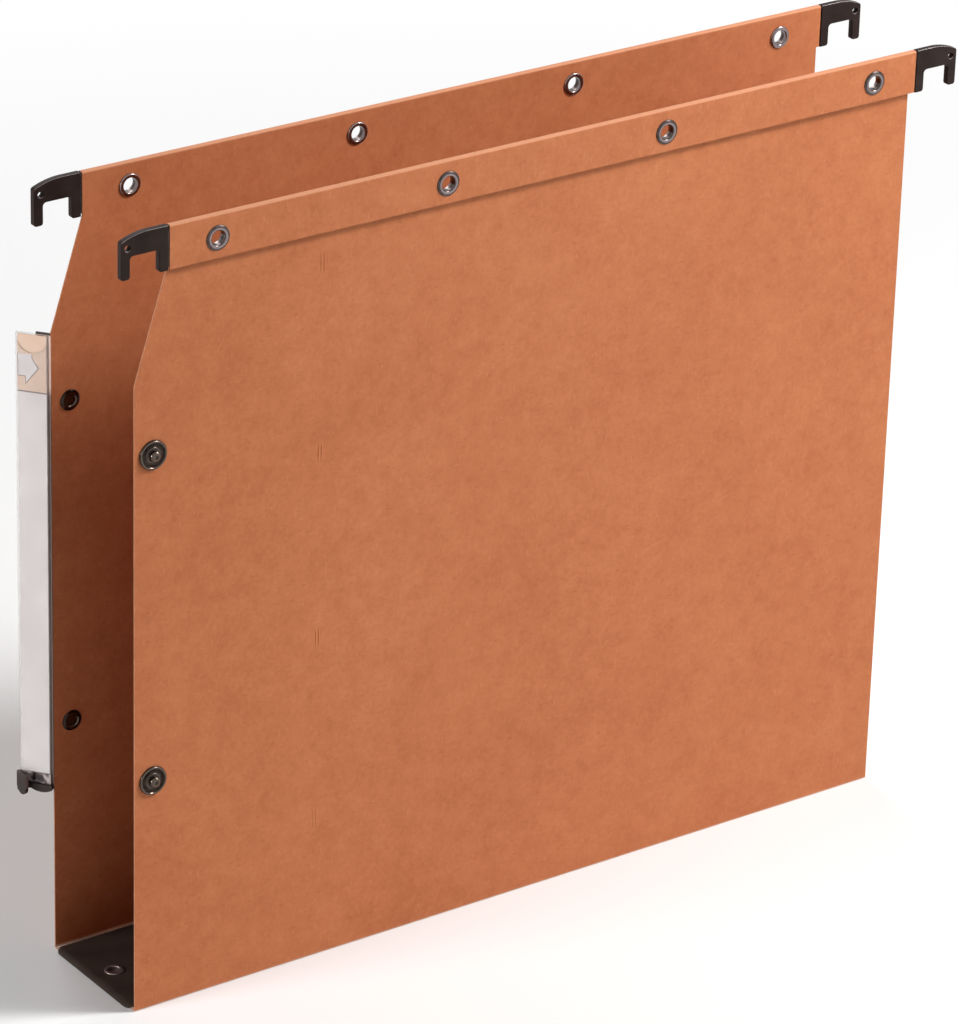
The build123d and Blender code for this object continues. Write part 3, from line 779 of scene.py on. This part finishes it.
def labelStrip():
    s = labelSet
    low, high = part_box("label_strip")
    left, right = s["start"], s["start"] + s["width"]
    back, front = s["front"] - s["thickness"], s["front"]
    levels = (low.z, high.z - s["band"] * mm, high.z - (s["band"] - s["line"]) * mm, high.z)
    form = bmesh.new()
    for bottom, top, materialIndex in zip(levels, levels[1:], (paperAt, inkAt, peachAt)):
        outline = ((left, bottom), (right, bottom), (right, top), (left, top))
        labelPlate(form, outline, back, front, materialIndex)
    labelPlate(form, arrowOutline(s["outline"]), front, front + s["print"], inkAt)
    labelPlate(form, arrowOutline(0), front, front + 2 * s["print"], paperAt)
    mesh = meshFrom(form, "label_strip_printed", meshSet["sharp"])
    for material in (labelPaper, labelPeach, labelInk):
        mesh.materials.append(material)
    newPiece("label_strip_printed", mesh, "label", "label_paper", "label_strip")


def labelSleeve():
    mesh = mergedCopy("label_sleeve", "label_sleeve_film")
    mesh.materials.append(sleeveFilm)
    mesh.materials.append(shearedFilm)
    for face in mesh.polygons:
        flat = abs(face.normal.dot(outward)) >= labelSet["outwards"]
        side = abs(face.normal.dot(along)) >= labelSet["lengthways"]
        face.material_index = 0 if flat or side else 1
    smoothByAngle(mesh, meshSet["sharp"])
    newPiece("label_sleeve_film", mesh, "back_side", "clear_film", "label_sleeve")


def paintSpine(mesh):  # the carrier's face beside and behind the sleeve, which gets the painted shade and reflection
    mesh.materials.append(spinePaintedLight)
    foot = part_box("label_sleeve")[0].z
    for face in mesh.polygons:
        if face.center.z > foot and face.normal.dot(outward) > labelSet["outwards"]:
            face.material_index = 1


labelStrip()
labelSleeve()
paintSpine(eased["label_carrier"])
print("label: strip and sleeve")


# Floor, light and camera

def seenDirectly(tree):  # 1 for what the camera sees, also in metal or through film
    path = addNode(tree, "ShaderNodeLightPath").outputs
    seen = path["Is Camera Ray"]
    for ray in ("Is Glossy Ray", "Is Transmission Ray"):
        seen = addNode(tree, "ShaderNodeMath", {0: seen, 1: path[ray]}, operation="MAXIMUM")
    return seen


floorSet = {
    "wide": 30.0, "drop": 0.2,  # metres, and mm below the folder
    "colour": "F4F4F4", "rough": 0.9,
    "glow": 0.1, "near": 0.35, "far": 0.9,  # share of plain white close by, and metres over which it fills
}


def paleFloor():
    s = floorSet
    half = s["wide"] / 2
    mesh = bpy.data.meshes.new("paleFloor")
    corners = [(-half, -half, 0), (half, -half, 0), (half, half, 0), (-half, half, 0)]
    mesh.from_pydata(corners, [], [(0, 1, 2, 3)])
    floor = bpy.data.objects.new("paleFloor", mesh)
    scene.collection.objects.link(floor)
    floor.location.z = -s["drop"] * mm
    # Seamless paper: white to the eye, greyed where the folder shades it
    material, tree, place = newMaterial("paperSweepWhite")
    away = addNode(tree, "ShaderNodeVectorMath", {0: place}, operation="LENGTH").outputs["Value"]
    glow = addNode(tree, "ShaderNodeMapRange", {0: away, 1: s["near"], 2: s["far"], 3: s["glow"], 4: 1.0})
    share = addNode(tree, "ShaderNodeMath", {0: seenDirectly(tree), 1: glow}, operation="MULTIPLY")
    shader = addNode(tree, "ShaderNodeBsdfPrincipled",
                     {"Base Color": toLinear(s["colour"]), "Roughness": s["rough"]})
    white = addNode(tree, "ShaderNodeEmission", {"Color": (1, 1, 1, 1), "Strength": 1.0})
    mixed = addNode(tree, "ShaderNodeMixShader", {0: share, 1: shader, 2: white})
    addNode(tree, "ShaderNodeOutputMaterial", {"Surface": mixed})
    mesh.materials.append(material)
    floor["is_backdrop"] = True


lightSet = {
    "sky": 0.015,
    "lamps": (  # name, place, size, watts
        ("keyHigh", (0.9, -0.6, 1.2), 0.35, 24.0),
        ("fillRight", (0.75, -0.7, 0.75), 0.5, 3.7),
        ("leftSide", (-1.6, 0.2, 0.45), 0.5, 18.0),
        ("backSoft", (0.2, 1.4, 1.1), 0.9, 8.0),
    ),
    "aim": (0.0, 0.0, 0.15),
}


def lightUp():
    world = bpy.data.worlds.new("whiteStudio")
    scene.world = world
    world.use_nodes = True
    tree = world.node_tree
    tree.nodes.clear()
    strength = addNode(tree, "ShaderNodeMapRange", {0: seenDirectly(tree), 3: lightSet["sky"], 4: 1.0})
    background = addNode(tree, "ShaderNodeBackground", {"Color": (1, 1, 1, 1), "Strength": strength})
    addNode(tree, "ShaderNodeOutputWorld", {"Surface": background})
    aim = Vector(lightSet["aim"])
    for name, place, size, watts in lightSet["lamps"]:
        lamp = bpy.data.lights.new(name, "AREA")
        lamp.shape = "DISK"
        lamp.size = size
        lamp.energy = watts
        holder = bpy.data.objects.new(name, lamp)
        scene.collection.objects.link(holder)
        holder.location = place
        holder.rotation_euler = (aim - Vector(place)).to_track_quat("-Z", "Y").to_euler()


cameraSet = {
    "place": (-1.040615, -1.431282, 0.966305),  # metres
    "right": (0.8178866, -0.5748047, 0.0257123),
    "down": (-0.2248994, -0.3605015, -0.9052397),
    "focal": 5529.93, "longSide": 1024,  # pixels
    "sensor": 36.0, "farEnd": 100.0,  # mm and metres
}


def setCamera():
    s = cameraSet
    right, up = Vector(s["right"]).normalized(), -Vector(s["down"]).normalized()
    back = right.cross(up)
    lens = bpy.data.cameras.new("studioCamera")
    lens.sensor_width = s["sensor"]
    lens.lens = s["focal"] / s["longSide"] * s["sensor"]
    lens.clip_end = s["farEnd"]
    camera = bpy.data.objects.new("studioCamera", lens)
    scene.collection.objects.link(camera)
    turn = Matrix((right, up, back)).transposed().to_4x4()
    camera.matrix_world = Matrix.Translation(s["place"]) @ turn
    scene.camera = camera


paleFloor()
lightUp()
setCamera()
scene.view_settings.view_transform = "Standard"
print("stage: floor, lamps and camera")

low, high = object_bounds()
